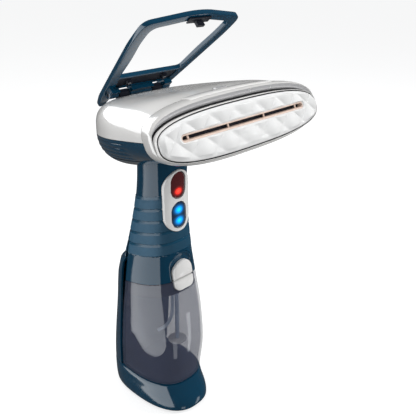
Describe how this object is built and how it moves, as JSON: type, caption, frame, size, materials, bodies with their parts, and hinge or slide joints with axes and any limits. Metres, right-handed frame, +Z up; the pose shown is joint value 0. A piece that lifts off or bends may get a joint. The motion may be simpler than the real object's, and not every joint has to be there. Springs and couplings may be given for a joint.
{
  "type": "garment steamer",
  "caption": "Handheld garment steamer with a wide tilted steam plate, a slim grip, a slide-out water tank and a fold-away hanging loop.",
  "frame": {"origin": "centre of the foot's underside, where it stands", "axes": "+Z up, -Y towards the steam plate, +X to the right when the plate faces the viewer's far side"},
  "size_m": [0.1782, 0.1647, 0.3689],
  "materials": {
    "blue_plastic": "satin moulded",
    "white_plastic": "gloss",
    "pearl_trim": "pearl satin",
    "plate_coating": "ceramic gloss",
    "slot_metal": "satin",
    "dark_plastic": "matte",
    "smoke_tank": "clear smoke tint",
    "clear_tube": "clear",
    "steel": "brushed",
    "cast_aluminium": "as cast",
    "rubber": "matte",
    "turbo_tint": "gloss",
    "turbo_light": "lit",
    "power_tint": "gloss",
    "power_light": "lit",
    "circuit_board": "solder mask"
  },
  "bodies": {
    "housing": {"anti_slip_pad": "rubber", "base_foot": "blue_plastic", "base_plate": "blue_plastic", "bay_wall": "blue_plastic", "chamber_cover": "steel", "chamber_inlet": "steel", "control_bezel": "white_plastic", "control_board": "circuit_board", "cord_gland": "rubber", "coupler_seal": "rubber", "front_bezel": "pearl_trim", "grip_front_shell": "blue_plastic", "grip_rear_shell": "blue_plastic", "handle_floor": "dark_plastic", "head_lower_shell": "blue_plastic", "head_top_cover": "white_plastic", "heating_element": "steel", "hinge_bracket": "dark_plastic", "hinge_pin": "steel", "inlet_hose": "clear_tube", "latch_catch": "pearl_trim", "plate_gasket": "rubber", "power_switch": "dark_plastic", "pump_bracket": "dark_plastic", "pump_head": "dark_plastic", "pump_motor": "steel", "rear_spine": "blue_plastic", "release_guide": "blue_plastic", "release_spring": "steel", "slot_trim": "slot_metal", "steam_chamber": "cast_aluminium", "steam_hose": "clear_tube", "steam_plate": "plate_coating", "thermal_fuse": "white_plastic", "thermostat": "dark_plastic", "turbo_switch": "dark_plastic"},
    "loop": {"hanging_frame": "blue_plastic", "frame_web": "dark_plastic", "frame_latch": "dark_plastic", "web_screw_left": "steel", "web_screw_right": "steel"},
    "turbo": {"turbo_button": "turbo_tint", "turbo_lens": "turbo_light"},
    "power": {"power_button": "power_tint", "power_lens_upper": "power_light", "power_lens_lower": "power_light"},
    "latch": {"release_button": "white_plastic"},
    "tank": {"water_tank": "smoke_tank", "tank_lid": "dark_plastic", "tank_lug": "white_plastic", "filler_cap": "rubber", "outlet_valve": "white_plastic", "pickup_tube": "clear_tube", "pickup_filter": "clear_tube", "return_hose": "clear_tube"}
  },
  "joints": [
    {"name": "loop_fold", "type": "hinge", "parent": "housing", "child": "loop", "pos_m": [0, 0.023, 0.30046], "axis": [1, 0, 0], "range_deg": [0, 30]},
    {"name": "turbo_press", "type": "slide", "parent": "housing", "child": "turbo", "axis": [0, 1, 0], "range_m": [0, 0.0015], "stiffness_N_per_m": 600},
    {"name": "power_press", "type": "slide", "parent": "housing", "child": "power", "axis": [0, 1, 0], "range_m": [0, 0.0015], "stiffness_N_per_m": 600},
    {"name": "release_slide", "type": "slide", "parent": "housing", "child": "latch", "axis": [0, 0, 1], "range_m": [0, 0.003], "stiffness_N_per_m": 500, "deforming": ["release_spring"]},
    {"name": "tank_slide", "type": "slide", "parent": "housing", "child": "tank", "axis": [0, -1, 0], "range_m": [0, 0.075]}
  ]
}
